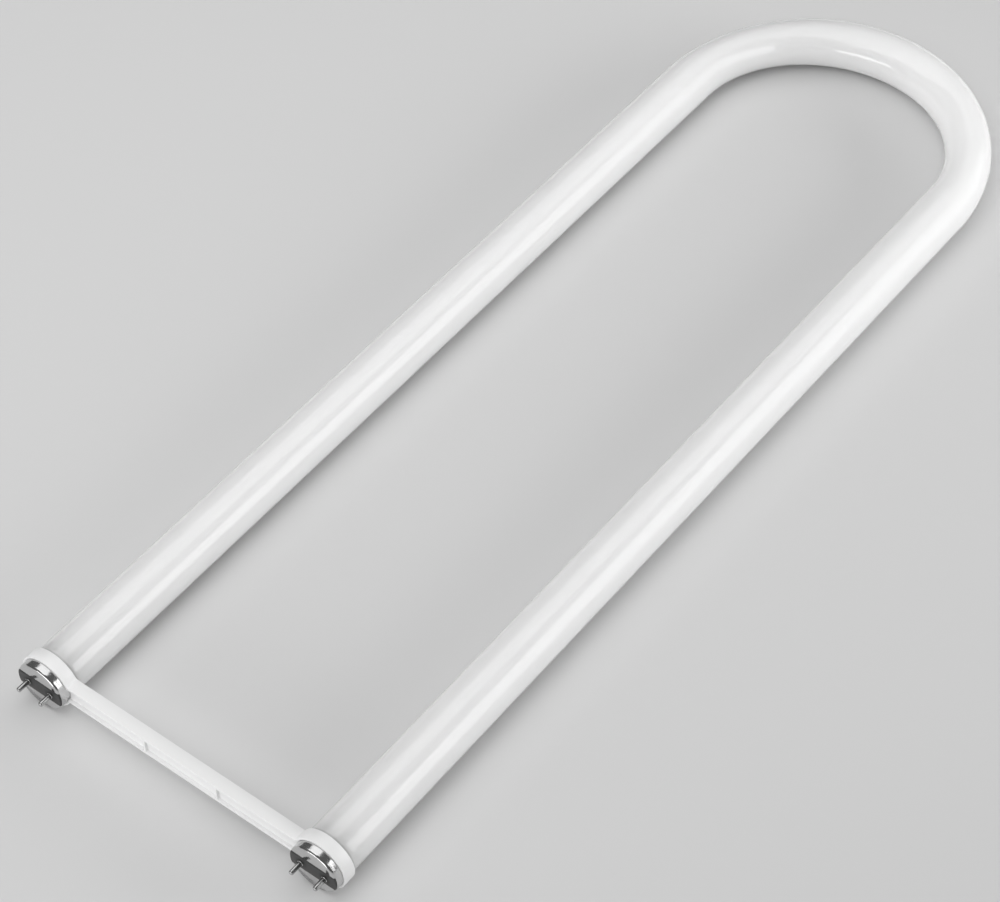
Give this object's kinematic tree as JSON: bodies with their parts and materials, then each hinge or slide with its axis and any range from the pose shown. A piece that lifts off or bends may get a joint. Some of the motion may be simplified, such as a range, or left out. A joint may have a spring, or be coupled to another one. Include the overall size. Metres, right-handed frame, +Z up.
{
  "type": "u-bent fluorescent lamp",
  "caption": "U-bent fluorescent lamp: white glass tube with a half-circle bend, metal bi-pin base caps with dark insulators, and a moulded white spacer bracket between the bases.",
  "frame": {"origin": "on the table, under the middle of the lamp's outline as it lies flat", "axes": "+Y from the pins along the legs to the bend, +X from the left leg to the right one, +Z up out of the plane of the U"},
  "size_m": [0.1794, 0.5705, 0.027],
  "materials": {
    "white_glass": "glossy, white phosphor behind it",
    "white_plastic": "satin moulding",
    "cap_metal": "bright drawn metal",
    "dark_insulator": "dark moulding",
    "pin_plating": "nickel plated",
    "lead_metal": "drawn wire",
    "basing_cement": "dull cement"
  },
  "bodies": {
    "root": {"glass_tube": "white_glass", "spacer_bracket": "white_plastic", "left_base_cap": "cap_metal", "left_insulator": "dark_insulator", "left_basing_cement": "basing_cement", "left_outer_pin": "pin_plating", "left_outer_lead": "lead_metal", "left_inner_pin": "pin_plating", "left_inner_lead": "lead_metal", "right_base_cap": "cap_metal", "right_insulator": "dark_insulator", "right_basing_cement": "basing_cement", "right_outer_pin": "pin_plating", "right_outer_lead": "lead_metal", "right_inner_pin": "pin_plating", "right_inner_lead": "lead_metal"}
  },
  "joints": []
}
